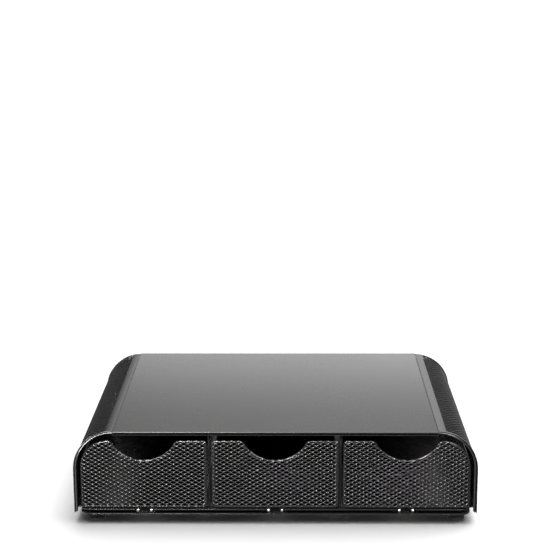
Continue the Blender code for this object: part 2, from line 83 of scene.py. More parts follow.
print("solids:", len(frame["nodes"]), "box:", [round(v / MM, 1) for v in (*cad_box[0], *cad_box[1])])

# %% [markdown]
# ## Sizes
# A place that a solid already has is read from its box, so nothing has to be measured twice. Only what the
# plain solids leave out is stated: here the mesh cells, the strands and the wire of the drawer fronts, and
# later the sizes that only one kind of piece needs.

# %% State the sizes that the solids don't hold
LONG_WAY = 8.75 * MM  # a diamond, along its long axis
SHORT_WAY = 5.05 * MM  # and along its short axis
STRAND = 0.72 * MM  # half the width of a strand
RIM_WIRE = 1.0 * MM  # radius of the wire inside the rim of a drawer front
RIM_SKIN = 1.15 * MM  # radius at which the mesh is wrapped round that wire
RIM_INSET = 1.5 * MM  # edge of a drawer front to the middle of that wire
BEND_STEPS = 28  # rings along the bend of a channel

half_width, half_depth, height = cad_box[1]
channel_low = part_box("right_front_channel")[0]
seam = channel_low.x
bend_radius = half_width - seam
bend_z = height - bend_radius
print(f"seam {seam / MM:.1f} mm, bend {bend_radius / MM:.1f} mm")

# %% [markdown]
# ## Shader maths
# A finish is a small network of nodes. Writing it as sums is easier to read than wiring it by hand, so one
# class wraps a node's socket and turns each operator into a Math node. Everything else goes through `node`.

# %% Wrap a socket so that it can be used in sums
class Wire:
    def __init__(self, tree, socket):
        self.tree = tree
        self.socket = socket

    def math(self, operation, first, second):
        return node(self.tree, "ShaderNodeMath", {"operation": operation}, {0: first, 1: second})

    def __add__(self, other):
        return self.math("ADD", self, other)

    def __mul__(self, other):
        return self.math("MULTIPLY", self, other)

    def __lt__(self, other):
        return self.math("LESS_THAN", self, other)

    def __gt__(self, other):
        return self.math("GREATER_THAN", self, other)


def node(tree, kind, settings=None, sockets=None, output=0):
    """Adds a node: its settings first, then a value or a link for each named socket."""
    made = tree.nodes.new(kind)
    for name, value in (settings or {}).items():
        if name == "stops":
            for stop, (place, level) in zip(made.color_ramp.elements, value):
                stop.position = place
                stop.color = (level, level, level, 1)
        else:
            setattr(made, name, value)
    for name, value in (sockets or {}).items():
        if isinstance(value, Wire):
            tree.links.new(value.socket, made.inputs[name])
        else:
            made.inputs[name].default_value = value
    return Wire(tree, made.outputs[output])


print("a finish is written with Wire and node")

# %% [markdown]
# ## Helpers for finishes
# Every pattern here sits in metres on the piece itself, so a grain has the same size on a foot as on the
# top. `noise` gives soft random patches, and `grey_mix` slides between two colours by a mask.

# %% Make the shared pieces of a finish
finishes = {}


def start_finish(name):
    """An empty Principled finish: its tree, its shader node and the piece's own coordinates in metres."""
    material = finishes[name] = bpy.data.materials.new(name)
    material.use_nodes = True
    tree = material.node_tree
    return tree, tree.nodes["Principled BSDF"], node(tree, "ShaderNodeTexCoord", output="Object")


def noise(tree, place, per_metre, detail=2.0, roughness=0.5):
    settings = {"Vector": place, "Scale": per_metre, "Detail": detail, "Roughness": roughness}
    return node(tree, "ShaderNodeTexNoise", None, settings)


def grey_mix(tree, mask, first, second):
    sockets = {"Factor": mask, "A": (*first, 1), "B": (*second, 1)}
    return node(tree, "ShaderNodeMix", {"data_type": "RGBA"}, sockets, output="Result")


def feed(shader, **sockets):
    """Sets sockets of the shader: a plain value stays on the socket, and a Wire is linked."""
    for name, value in sockets.items():
        socket = shader.inputs[name.replace("_", " ")]
        if isinstance(value, Wire):
            value.tree.links.new(value.socket, socket)
        else:
            socket.default_value = value


def bump(tree, height_map, distance, under=None):
    """A skin whose hills are this many metres high, laid over another skin if one is given."""
    sockets = {"Strength": 1.0, "Distance": distance, "Height": height_map}
    if under is not None:
        sockets["Normal"] = under
    return node(tree, "ShaderNodeBump", None, sockets, output="Normal")


print("helpers ready")

# %% [markdown]
# ## Satin black powder coat
# Powder coat is baked on, and it flows just enough to leave an orange-peel skin: soft hills about a
# millimetre across and a few microns high. That skin breaks a reflection up, which is what makes the top
# look satin instead of like glass. A larger noise varies the sheen as handling does, and a very fine one
# gives the paint its grain. The coat on the mesh is thinner and mirrors less.

# %% Make the satin coat of the top and the other plain sheets
GRAIN_DEPTH = 0.0000012
SHEEN_SPREAD = 0.07  # how much the roughness varies over a piece


def satin_coat(name, shade, rough, peel, ior):
    """Black coat: its colour, its least roughness, the height of its skin and how strongly it mirrors."""
    tree, shader, place = start_finish(name)
    hills = noise(tree, place, 900, detail=3)
    grain = noise(tree, place, 5200, detail=1)
    handling = noise(tree, place, 9, detail=4, roughness=0.6)
    fog = noise(tree, place, 60, detail=3)
    tone = handling * 0.6 + fog * 0.4
    colour = grey_mix(tree, tone, [c * 0.8 for c in shade], [c * 1.25 for c in shade])
    skin = bump(tree, hills, peel)
    feed(
        shader,
        Base_Color=colour,
        Roughness=tone * SHEEN_SPREAD + rough,
        Normal=bump(tree, grain, GRAIN_DEPTH, under=skin),
        Specular_Tint=(1.0, 0.965, 0.955, 1.0),
        IOR=ior,
    )


satin_coat("satin_black_paint", (0.006, 0.0057, 0.0057), 0.235, 0.000003, 1.5)
satin_coat("black_mesh_paint", (0.005, 0.005, 0.005), 0.225, 0.000005, 1.35)
print(sorted(finishes))

# %% [markdown]
# ## Gloss enamel for wires and edges
# Wire and folded edges are dipped, so their paint is smoother and pulls into a thin even film. Where a
# drawer rubs, small scuffs make it duller. The scuffs are a noise, cut off so that only its peaks show.

# %% Make the gloss enamel
def gloss_enamel(name):
    tree, shader, place = start_finish(name)
    waves = noise(tree, place, 350, detail=2)
    scuffs = noise(tree, place, 700, detail=4, roughness=0.7)
    settings = {"stops": ((0.62, 0.0), (0.72, 1.0))}
    rubbed = node(tree, "ShaderNodeValToRGB", settings, {"Fac": scuffs})
    colour = grey_mix(tree, rubbed, (0.008, 0.008, 0.008), (0.022, 0.022, 0.022))
    feed(
        shader,
        Base_Color=colour,
        Roughness=rubbed * 0.2 + 0.22,
        Normal=bump(tree, waves, 0.000006),
        IOR=1.52,
        Coat_Weight=0.5,
        Coat_Roughness=0.15,
    )


gloss_enamel("gloss_black_paint")
print(sorted(finishes))

# %% [markdown]
# ## Rubber, nylon and zinc
# The feet are moulded rubber, which is dull and holds dust in its pores. The shoes under the drawers are
# nylon, with the fine spark texture of its mould. The screws and runners are zinc plated: bright metal with
# a brushed, slightly clouded skin.

# %% Make the finishes of the small parts
def moulded(name, shade, rough, pores, depth):
    """Dull moulded skin, with this many pores to a metre and this deep."""
    tree, shader, place = start_finish(name)
    pitted = noise(tree, place, pores, detail=3, roughness=0.65)
    dust = noise(tree, place, 70, detail=5, roughness=0.7)
    colour = grey_mix(tree, dust, shade, [c * 2.1 for c in shade])
    feed(
        shader,
        Base_Color=colour,
        Roughness=dust * 0.14 + rough,
        Normal=bump(tree, pitted, depth),
        IOR=1.5,
    )


def zinc_skin(name):
    tree, shader, place = start_finish(name)
    long_way = node(tree, "ShaderNodeMapping", None, {"Vector": place, "Scale": (1, 1, 14)})
    brushed = noise(tree, long_way, 900, detail=2)
    cloud = noise(tree, place, 260, detail=4)
    colour = grey_mix(tree, cloud, (0.5, 0.5, 0.47), (0.72, 0.72, 0.71))
    feed(
        shader,
        Base_Color=colour,
        Metallic=1.0,
        Roughness=cloud * 0.2 + 0.2,
        Normal=bump(tree, brushed, 0.00001),
    )


moulded("black_rubber", (0.012, 0.012, 0.012), 0.68, 1600, 0.00002)
moulded("black_nylon", (0.016, 0.016, 0.017), 0.43, 2600, 0.000008)
zinc_skin("zinc_plate")
print(sorted(finishes))

# %% [markdown]
# ## Putting a piece in its solid's place
# Every new piece stands for one plain solid. It takes the finish that the solid's slot names, hides the
# solid, and rides on the same body, so that a drawer's mesh leaves with the drawer.

# %% Write the call that swaps a piece in
record = frame["record"]
slot_of = {part["node"]: part["material_slot"] for part in record["subparts"]}
body_of = {name: body for body, names in record["behaviour"]["bodies"].items() for name in names}


def stand_for(solid, piece):
    """Dresses a piece with its solid's finish and puts it in the solid's place."""
    piece.data.materials.clear()
    piece.data.materials.append(finishes[slot_of[solid]])
    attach(piece, body_of[solid])
    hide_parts(solid)


def add_piece(name, data):
    piece = bpy.data.objects.new(name, data)
    bpy.context.scene.collection.objects.link(piece)
    return piece


def smooth(mesh, angle=35):
    """Shades a mesh smooth, but keeps edges sharper than this many degrees crisp."""
    mesh.shade_smooth()
    mesh.set_sharp_from_angle(angle=math.radians(angle))
    return mesh


print("bodies:", sorted(set(body_of.values())))

# %% [markdown]
# ## Soft edges on flat sheet parts
# A sheet that has been sheared and painted has no razor edge: the paint rounds it to a third of a
# millimetre, and that rounding is what catches the light. A Bevel modifier does this, but it needs clean
# faces, so the solid's triangles are first welded and merged back into flat faces.

# %% Round the edges of the parts whose shape is already right
SHARP = 35  # degrees between two faces that make an edge worth rounding
EDGE_OF = {
    "_rail": 0.35 * MM,
    "_bottom_angle": 0.35 * MM,
    "_corner_plate": 0.35 * MM,
    "back_panel": 0.35 * MM,
    "_drawer_floor": 0.3 * MM,
    "_guide_shoe": 0.6 * MM,
}


def round_edges(piece, width, segments, angle):
    rounding = piece.modifiers.new("rounded_edges", "BEVEL")
    rounding.width = width
    rounding.segments = segments
    rounding.limit_method = "ANGLE"
    rounding.angle_limit = math.radians(angle)
    return rounding


def softened(solid, width):
    shape = bmesh.new()
    shape.from_mesh(frame["nodes"][solid].data)
    bmesh.ops.remove_doubles(shape, verts=shape.verts, dist=0.00001)
    bmesh.ops.dissolve_limit(shape, angle_limit=0.02, verts=shape.verts, edges=shape.edges)
    mesh = bpy.data.meshes.new(solid + "_soft")
    shape.to_mesh(mesh)
    shape.free()
    piece = add_piece(solid + "_soft", smooth(mesh))
    round_edges(piece, width, 3, SHARP).harden_normals = True
    stand_for(solid, piece)


done = 0
for solid in sorted(frame["nodes"]):
    for ending, width in EDGE_OF.items():
        if solid.endswith(ending):
            softened(solid, width)
            done += 1
print(done, "parts softened")

# %% [markdown]
# ## The bent edge channels
# The front and back edges of each side are trimmed with a channel that follows the bend. It starts narrow
# beside the top and widens down the bend, so its inner lip looks like a bead that leaves the top's edge. A
# sweep would keep one section, so it is lofted: one ring of the section after another, and last the slanted
# cut at the foot. The section's corners are rounded first, because the two lips show as two bright lines.

# %% Round a section's corners
def arc(centre, radius, first, last, steps):
    """Points on an arc, from the first angle to the last, in degrees."""
    turns = [math.radians(first + (last - first) * i / steps) for i in range(steps + 1)]
    return [(centre[0] + radius * math.cos(a), centre[1] + radius * math.sin(a)) for a in turns]


def rounded(section, radii, steps=3):
    """Replaces each corner of a flat outline with an arc of its radius."""
    points = []
    count = len(section)
    for i, radius in enumerate(radii):
        corner, before, after = (Vector(section[k % count]) for k in (i, i - 1, i + 1))
        back, ahead = (before - corner).normalized(), (after - corner).normalized()
        if radius <= 0:
            points.append(tuple(corner))
            continue
        half = back.angle(ahead) / 2
        centre = corner + (back + ahead).normalized() * (radius / math.sin(half))
        start = corner + back * (radius / math.tan(half)) - centre
        end = corner + ahead * (radius / math.tan(half)) - centre
        turn = start.angle_signed(end)
        for k in range(steps + 1):
            points.append(tuple(centre + Matrix.Rotation(-turn * k / steps, 2) @ start))
    return points


def loft(name, rings):
    """A closed skin through rings of points, with its two ends capped."""
    shape = bmesh.new()
    lines = [[shape.verts.new(point) for point in ring] for ring in rings]
    count = len(rings[0])
    for near, far in zip(lines, lines[1:]):
        for i in range(count):
            shape.faces.new((near[i], near[i - 1], far[i - 1], far[i]))
    shape.faces.new(lines[0])
    shape.faces.new(lines[-1][::-1])
    bmesh.ops.recalc_face_normals(shape, faces=shape.faces)
    mesh = bpy.data.meshes.new(name)
    shape.to_mesh(mesh)
    shape.free()
    return smooth(mesh)


def bend_place(side, inset, angle):
    """X and Z on the bend: angle 0 is at the seam and a quarter turn is at the upright wall."""
    reach = bend_radius - inset
    return side * (seam + reach * math.sin(angle)), bend_z + reach * math.cos(angle)


header_low, header_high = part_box("front_header")
channel_depth = header_high.y - header_low.y
channel_tall = height - header_low.z
CHANNEL_THROAT = 2.3 * MM  # how tall the channel is where it starts beside the top
CHANNEL_SETBACK = 3.5 * MM  # how far its outer wall ends behind its inner one
LIP = 1.1 * MM  # gauge of its walls
LIP_EDGE = 0.2 * MM  # rounding of its outer wall's cut edge
BACK_FOLD = 0.6 * MM  # rounding of the two folds at its back
CREASE = 0.03 * MM  # rounding of the creases inside it
BEAD = 0.85 * MM  # radius of the bead that the inner wall is rolled into at the front
FOOT_SLANT = 3.5 * MM  # how much higher the channel's foot is cut at its inner side


def channel_section(tall):
    """(inset, back) round the channel. Its inner wall ends in a bead, and its outer wall stops short."""
    depth = channel_depth
    corners = [(0, depth), (0, CHANNEL_SETBACK), (LIP, CHANNEL_SETBACK), (LIP, depth - LIP)]
    corners.append((tall - LIP, depth - LIP))
    radii = [BACK_FOLD, LIP_EDGE, LIP_EDGE, CREASE, CREASE]
    meet = math.degrees(math.acos((BEAD - LIP) / BEAD))
    bead = arc((tall - BEAD, BEAD), BEAD, meet, 360, 14)
    return rounded(corners + bead + [(tall, depth)], radii + [0] * len(bead) + [BACK_FOLD])


print(f"channel {channel_tall / MM:.1f} x {channel_depth / MM:.1f} mm")

# %% Loft the four edge channels
for end, end_name in ((-1, "front"), (1, "rear")):
    for side, side_name in ((-1, "left"), (1, "right")):
        edge = end * half_depth
        rings = []
        for i in range(BEND_STEPS + 1):
            angle = math.pi / 2 * i / BEND_STEPS
            section = channel_section(channel_tall - (channel_tall - CHANNEL_THROAT) * math.cos(angle))
            places = [(bend_place(side, inset, angle), back) for inset, back in section]
            rings.append([(x, edge - end * back, z) for (x, z), back in places])
        foot = channel_low.z
        rings.append(
            [
                (side * (half_width - inset), edge - end * back, foot + FOOT_SLANT * inset / channel_tall)
                for inset, back in section
            ]
        )
        solid = f"{side_name}_{end_name}_channel"
        stand_for(solid, add_piece(solid + "_lips", loft(solid, rings)))
print("4 channels,", len(rings), "rings each")

# %% [markdown]
# ## The top sheet, its headers and strips
# The top is one flat sheet whose front and back edges are rolled into a hem, so each ends in a bead a
# little thicker than the sheet, in line with the channels' beads. Under each edge runs a header, an angle
# that carries the channel's inner lip across. Sheet and headers are each one section drawn out along X. The
# strips beside the top are the first part of the bend.

# %% Draw out the top sheet and the headers
def drawn_across(name, outline, left, right):
    """A section in Y and Z, drawn out along X."""
    return loft(name, [[(x, y, z) for y, z in outline] for x in (left, right)])


top_low, top_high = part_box("top_plate")
HEM = 1.0 * MM  # radius of the hem that the sheet's front and back edges are rolled into
HEADER_GAUGE = 1.15 * MM
HEADER_EDGES = [0.5 * MM, 0.5 * MM, 0.3 * MM, 0.3 * MM, 0.3 * MM, 0.6 * MM]
SHEET_EDGE = 0.3 * MM  # rounding of a cut sheet edge
drop = math.degrees(math.asin((HEM - (top_high.z - top_low.z)) / HEM))
front_hem = arc((top_low.y + HEM, top_high.z - HEM), HEM, 90, 360 + drop, 18)
outline = front_hem + [(-y, z) for y, z in reversed(front_hem)]
plate = add_piece("top_plate_folded", drawn_across("top_plate", outline, top_low.x, top_high.x))
round_edges(plate, SHEET_EDGE, 2, 50)
stand_for("top_plate", plate)
for solid, end in (("front_header", -1), ("rear_header", 1)):
    header_low, header_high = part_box(solid)
    mouth = end * half_depth
    back = mouth - end * channel_depth
    corners = [
        (mouth, header_low.z),
        (mouth, header_low.z + HEADER_GAUGE),
        (back + end * HEADER_GAUGE, header_low.z + HEADER_GAUGE),
        (back + end * HEADER_GAUGE, header_high.z),
        (back, header_high.z),
        (back, header_low.z),
    ]
    mesh = drawn_across(solid, rounded(corners, HEADER_EDGES), header_low.x, header_high.x)
    stand_for(solid, add_piece(solid + "_lip", mesh))
print("top sheet", [round(v / MM, 1) for v in plate.dimensions])

# %% Bend the two plain strips
strip_low, strip_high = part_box("right_top_strip")
strip_turn = math.asin((strip_high.x - seam) / bend_radius)
STRIP_GAUGE = 1.2 * MM
STRIP_STEPS = 8
for side, side_name in ((-1, "left"), (1, "right")):
    turns = [strip_turn * i / STRIP_STEPS for i in range(STRIP_STEPS + 1)]
    outer = [bend_place(side, 0, turn) for turn in turns]
    inner = [bend_place(side, STRIP_GAUGE, turn) for turn in reversed(turns)]
    face_edges = [SHEET_EDGE] + [0] * (STRIP_STEPS - 1) + [SHEET_EDGE]
    outline = rounded(outer + inner, face_edges * 2)
    rings = [[(x, y, z) for x, z in outline] for y in (strip_low.y, strip_high.y)]
    solid = side_name + "_top_strip"
    stand_for(solid, add_piece(solid + "_bent", loft(solid, rings)))
print(f"strips turn {math.degrees(strip_turn):.1f} degrees")

# %% [markdown]
# ## Expanded metal
# Expanded metal isn't woven or punched. A sheet is slit in rows and pulled, and every slit opens into a
# diamond, so the whole net is still one piece. Each strand is a little twisted: the edge below a hole
# stands back and the edge above it stands forward, which gives the net its sparkle. An image could only
# paint that, so here it is real.
#
# One diamond is a ring between its border, where the strands' crests run, and its hole. The same ring is
# laid out many times on a flat sheet of coordinates, and a second function then puts each point on a plane,
# round a bend or along a wall. A hole that is seen close up has rounded sides, so a fine diamond has a point
# in the middle of each side as well.

# %% Describe one diamond
HOLE_BOW = 0.57  # middle of a hole's side: 0.5 is straight, and more bows it outwards
TWIST = 0.45  # how far a strand's edges stand out of the sheet, as a share of its thickness
WELD = 1e-7  # points nearer than this are one point


def with_middles(points, share):
    """The points, and between each two of them one more at this share of their sum."""
    filled = []
    for a, b in zip(points, points[1:] + points[:1]):
        filled += [a, ((a[0] + b[0]) * share, (a[1] + b[1]) * share)]
    return filled


def diamond(fine):
    """The border and the hole of one diamond, as points round its middle."""
    half_long, half_short = LONG_WAY / 2, SHORT_WAY / 2
    slope = math.atan2(half_short, half_long)
    hole_long, hole_short = half_long - STRAND / math.sin(slope), half_short - STRAND / math.cos(slope)
    turn = [math.tau * k / 4 for k in range(4)]
    border = [(half_long * round(math.cos(a)), half_short * round(math.sin(a))) for a in turn]
    hole = [(hole_long * round(math.cos(a)), hole_short * round(math.sin(a))) for a in turn]
    if fine:
        border, hole = with_middles(border, 0.5), with_middles(hole, HOLE_BOW)
    return np.array(border), np.array(hole)


hole = diamond(True)[1]
hole_size = np.ptp(hole, axis=0)
print("hole, mm:", (hole_size / MM).round(1))

# %% [markdown]
# The net is cut off where its frame holds it. A point past the cut is moved back onto it and pinched flat,
# so the strands end against the frame and the skin stays closed. `hold` says where a point goes and whether
# it was past the cut.

# %% Lay diamonds over an area
def expanded_metal(name, area, put, hold, thick, fine=True):
    """A net over area (u0, u1, v0, v1), put in place by put(u, v, out) and cut by hold(points)."""
    border, hole = diamond(fine)
    u0, u1, v0, v1 = area
    across, up = math.ceil((u1 - u0) / LONG_WAY) + 1, math.ceil((v1 - v0) / SHORT_WAY) + 1
    middle = np.array([(u0 + u1) / 2, (v0 + v1) / 2])
    steps = [
        ((i + shift) * LONG_WAY, (j + shift) * SHORT_WAY)
        for shift in (0, 0.5)
        for i in range(-across // 2 - 1, across // 2 + 2)
        for j in range(-up // 2 - 1, up // 2 + 2)
    ]
    middles = middle + np.array(steps)
    count, k = len(middles), len(border)
    crest_at, crest_cut = hold((middles[:, None] + border[None]).reshape(-1, 2))
    hole_at, hole_cut = hold((middles[:, None] + hole[None]).reshape(-1, 2))
    lean = np.tile(hole[:, 1] / np.abs(hole[:, 1]).max(), count)
    rise = np.where(crest_cut, 0, thick / 2)
    twist = np.where(hole_cut, 0, lean * thick * TWIST)
    points = np.concatenate([put(crest_at, rise), put(crest_at, -rise), put(hole_at, twist)])
    # The same point of two neighbouring diamonds becomes one, so the skin is closed.
    keys, which = np.unique(np.round(points / WELD).astype(np.int64), axis=0, return_inverse=True)
    which = which.reshape(-1)
    total = count * k
    crest, under, edge = which[:total], which[total : 2 * total], which[2 * total :]
    faces = []
    for cell in range(count):
        span = range(cell * k, cell * k + k)
        if crest_cut[span.start : span.stop].all():
            continue
        for i in span:
            j = i + 1 if i + 1 < span.stop else span.start
            if crest_cut[i] and crest_cut[j] and hole_cut[i] and hole_cut[j]:
                continue
            faces.append((crest[i], crest[j], edge[j], edge[i]))
            faces.append((under[j], under[i], edge[i], edge[j]))
    faces = [tuple(dict.fromkeys(face)) for face in faces]
    faces = [face for face in faces if len(face) > 2]
    mesh = bpy.data.meshes.new(name)
    mesh.from_pydata((keys * WELD).tolist(), [], faces)
    shape = bmesh.new()
    shape.from_mesh(mesh)
    bmesh.ops.delete(shape, geom=[v for v in shape.verts if not v.link_faces], context="VERTS")
    if shape.calc_volume(signed=True) < 0:
        bmesh.ops.reverse_faces(shape, faces=shape.faces)
    shape.to_mesh(mesh)
    shape.free()
    mesh.shade_smooth()
    return mesh


def hold_box(u0, u1, v0, v1):
    """Cuts a net to a rectangle."""
    least, most = np.array([u0, v0]), np.array([u1, v1])

    def hold(points):
        kept = np.clip(points, least, most)
        return kept, np.any(kept != points, axis=1)

    return hold


print("nets can be laid")

# %% [markdown]
# ## The mesh sides
# Each side is a net that starts under the plain strip, follows the bend and runs down to the angle at the
# bottom. Its flat sheet is measured along Y and along the bend, so the diamonds keep their size all the
# way.

# %% Bend the net into the two sides
side_low, side_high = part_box("right_side_mesh")
SIDE_INSET = 2.0 * MM  # outside of the cover to the middle of the net, which lies under the strip
SIDE_THICK = 1.5 * MM
SIDE_START = 0.05  # angle on the bend where the net starts, in radians
reach = bend_radius - SIDE_INSET
bend_length = reach * (math.pi / 2 - SIDE_START)
side_length = bend_length + (bend_z - side_low.z)


def side_put(side):
    def put(at, out):
        turn = np.minimum(SIDE_START + at[:, 1] / reach, math.pi / 2)
        down = np.maximum(at[:, 1] - bend_length, 0)
        x = seam + (reach + out) * np.sin(turn)
        z = bend_z + (reach + out) * np.cos(turn) - down
        return np.stack([side * x, at[:, 0], z], axis=1)

    return put


for side, side_name in ((-1, "left"), (1, "right")):
    area = (side_low.y, side_high.y, 0, side_length)
    solid = side_name + "_side_mesh"
    mesh = expanded_metal(solid, area, side_put(side), hold_box(*area), SIDE_THICK)
    stand_for(solid, add_piece(solid + "_net", mesh))
    print(solid, len(mesh.polygons), "faces")

# %% [markdown]
# ## The net under the top
# The same net runs across under the top sheet, where it is seen only past an open drawer, so its diamonds
# get fewer points.

# %% Lay the net under the top
INNER_THICK = 0.7 * MM  # of the nets under the top and along the drawers
liner_low, liner_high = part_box("top_liner_mesh")
area = (liner_low.x, liner_high.x, liner_low.y, liner_high.y)
liner_z = (liner_low.z + liner_high.z) / 2
mesh = expanded_metal(
    "top_liner_mesh",
    area,
    lambda at, out: np.stack([at[:, 0], at[:, 1], liner_z + out], axis=1),
    hold_box(*area),
    INNER_THICK,
    fine=False,
)
stand_for("top_liner_mesh", add_piece("top_liner_net", mesh))
print("liner", len(mesh.polygons), "faces")


# %% [markdown]
# A net with a curved outline needs to know which outline point is nearest. `Outline` keeps the outline as
# short straight stretches and answers that for many points at once, with the side that each point is on.

# %% Find the nearest point of an outline
class Outline:
    def __init__(self, points):
        self.start = np.array(points)
        self.run = np.roll(self.start, -1, axis=0) - self.start
        self.length = (self.run**2).sum(1)

    def nearest(self, points):
        """The nearest outline point and the distance to it, negative inside."""
        share = ((points[:, None] - self.start) * self.run).sum(2) / self.length
        found = self.start + np.clip(share, 0, 1)[..., None] * self.run
        gap = np.linalg.norm(points[:, None] - found, axis=2)
        stretch = gap.argmin(1)
        rows = np.arange(len(points))
        return found[rows, stretch], np.where(self.inside(points), -1, 1) * gap[rows, stretch]

    def inside(self, points):
        x, y = points[:, None, 0], points[:, None, 1]
        ends = self.start + self.run
        crosses = (self.start[:, 1] > y) != (ends[:, 1] > y)
        rise = np.where(self.run[:, 1] == 0, 1, self.run[:, 1])
        at = self.start[:, 0] + (y - self.start[:, 1]) / rise * self.run[:, 0]
        return (crosses & (x < at)).sum(1) % 2 == 1


print("outlines can be asked for their nearest point")

# %% [markdown]
# ## Round wire
# A curve with a round bevel is the quickest good wire: the curve holds the path, and the bevel gives it a
# true round section with closed ends. The runners' front ends are domed, so their radius tapers to a point
# over the last two millimetres.

# %% Bend wires from a path
def wire(name, points, radius, closed=False, taper=None):
    """A round wire along the points. Taper gives a share of the radius for each point."""
    curve = bpy.data.curves.new(name, "CURVE")
    curve.dimensions = "3D"
    curve.bevel_depth = radius
    curve.bevel_resolution = 4
    curve.use_fill_caps = not closed
    spline = curve.splines.new("POLY")
    spline.points.add(len(points) - 1)
    for i, point in enumerate(points):
        spline.points[i].co = (*point, 1)
        spline.points[i].radius = taper[i] if taper else 1
    spline.use_cyclic_u = closed
    return add_piece(name, curve)


DIVIDER_RADIUS, DIVIDER_BEND = 1.5 * MM, 8 * MM


def domed(front, back, radius):
    """Places and shares of the radius along a wire whose front end is a dome."""
    turns = [math.pi / 2 * i / 6 for i in range(7)]
    places = [front + radius * 0.8 * (1 - math.cos(a)) for a in turns]
    shares = [max(0.02, math.sin(a)) for a in turns]
    return places + [back], shares + [1]


for solid in sorted(frame["nodes"]):
    lowest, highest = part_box(solid)
    middle = (lowest + highest) / 2
    if "_runner_" in solid:
        radius = (highest.x - lowest.x) / 2
        places, shares = domed(lowest.y, highest.y, radius)
        line = [(middle.x, y, middle.z) for y in places]
        stand_for(solid, wire(solid + "_wire", line, radius, taper=shares))
    if solid.endswith("_divider"):
        radius, bend = DIVIDER_RADIUS, DIVIDER_BEND
        front, back, top = lowest.y + radius, highest.y - radius, highest.z - radius
        line = [(front, lowest.z)] + arc((front + bend, top - bend), bend, 180, 90, 10)
        line += arc((back - bend, top - bend), bend, 90, 0, 10) + [(back, lowest.z)]
        stand_for(solid, wire(solid + "_wire", [(middle.x, y, z) for y, z in line], radius))
print("runners and dividers bent")

# %% [markdown]
# ## The outline of a drawer front
# Every front has a scoop for the fingers: an arc that meets the top edge in two small roundings. The outer
# top corner of an outer drawer follows the bend of the cover, and the other corners are small.

# %% Trace the wire's path round a front
SCOOP_RADIUS, SCOOP_DEPTH, SCOOP_LIP = 42 * MM, 24 * MM, 6 * MM
SMALL_CORNER = 5 * MM


def front_path(solid, inset):
    """The path of (x, z) points at this inset from a front's edge."""
    lowest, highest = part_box(solid)
    centre, half = (lowest.x + highest.x) / 2, (highest.x - lowest.x) / 2
    bottom, top = lowest.z, highest.z
    above = SCOOP_RADIUS - SCOOP_DEPTH
    reach = math.sqrt((SCOOP_RADIUS + SCOOP_LIP) ** 2 - (above + SCOOP_LIP) ** 2)
    large = min(bend_radius - (half_width - abs(centre) - half), half - reach - 0.5 * MM)
    left = large if solid.startswith("left") else SMALL_CORNER
    right = large if solid.startswith("right") else SMALL_CORNER
    lean = math.degrees(math.atan2(above + SCOOP_LIP, reach))
    scoop_z, lip_z = top + above, top - SCOOP_LIP
    small = SMALL_CORNER
    path = arc((half - small, bottom + small), small - inset, -90, 0, 8)
    path += arc((half - right, top - right), right - inset, 0, 90, 8 if right == small else 24)
    path += arc((reach, lip_z), SCOOP_LIP - inset, 90, 180 - lean, 8)
    path += arc((0, scoop_z), SCOOP_RADIUS + inset, -lean, -180 + lean, 30)[1:-1]
    path += arc((-reach, lip_z), SCOOP_LIP - inset, lean, 90, 8)
    path += arc((-half + left, top - left), left - inset, 90, 180, 8 if left == small else 24)
    path += arc((-half + small, bottom + small), small - inset, 180, 270, 8)
    return [(centre + x, z) for x, z in path]


path = front_path("left_drawer_front_rim", RIM_INSET)
print(len(path), "points round a front")

# %% [markdown]
# ## Mesh fronts wrapped round their wire
# A front's net doesn't stop at its wire. It is pressed round it, and the strands that turn over the wire
# are the row of bright dashes along the edge. So a point past the wire's middle goes round the wire by as
# much as it is past.

# %% Wrap the nets and bend the rims
FRONT_THICK = 0.88 * MM
WRAP = math.radians(205)  # how far the net turns round the wire


def front_net(solid_mesh, solid_rim):
    rim_low, rim_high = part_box(solid_rim)
    rim_y = (rim_low.y + rim_high.y) / 2
    outline = Outline(front_path(solid_rim, RIM_INSET))
    most = RIM_SKIN * WRAP

    def hold(at):
        found, gap = outline.nearest(at)
        past = gap > most
        away = at - found
        away /= np.maximum(np.linalg.norm(away, axis=1), 1e-9)[:, None]
        return np.where(past[:, None], found + away * most, at), past

    def put(at, out):
        found, gap = outline.nearest(at)
        away = at - found
        away /= np.maximum(np.linalg.norm(away, axis=1), 1e-9)[:, None]
        turn = np.maximum(gap, 0) / RIM_SKIN
        skin = RIM_SKIN + out * np.where(gap > 0, 0.6, 1)
        side = found + away * (skin * np.sin(turn))[:, None]
        flat = np.where((gap > 0)[:, None], side, at)
        return np.stack([flat[:, 0], rim_y - skin * np.cos(turn), flat[:, 1]], axis=1)

    area = (rim_low.x - most, rim_high.x + most, rim_low.z - most, rim_high.z + most)
    mesh = expanded_metal(solid_mesh, area, put, hold, FRONT_THICK)
    stand_for(solid_mesh, add_piece(solid_mesh + "_net", mesh))
    return len(mesh.polygons)


def front_rim(solid):
    rim_low, rim_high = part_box(solid)
    rim_y = (rim_low.y + rim_high.y) / 2
    line = [(x, rim_y, z) for x, z in front_path(solid, RIM_INSET)]
    stand_for(solid, wire(solid + "_wire", line, RIM_WIRE, closed=True))


for name in ("left", "middle", "right"):
    faces = front_net(f"{name}_drawer_front_mesh", f"{name}_drawer_front_rim")
    front_rim(f"{name}_drawer_front_rim")
    print(name, "front", faces, "faces")

# %% [markdown]
# ## Drawer walls
# One strip of net makes both sides and the back of a drawer, bent round two corners. Its sheet is measured
# along that bend. A wire is welded along its top, so no cut strand is left where a hand goes in.

# %% Bend the walls and their top wires
WALL_CORNER = 12 * MM
WALL_INSET = 0.4 * MM  # outside of a wall to the middle of its net
WALL_WIRE = 1.4 * MM  # radius of the wire along its top


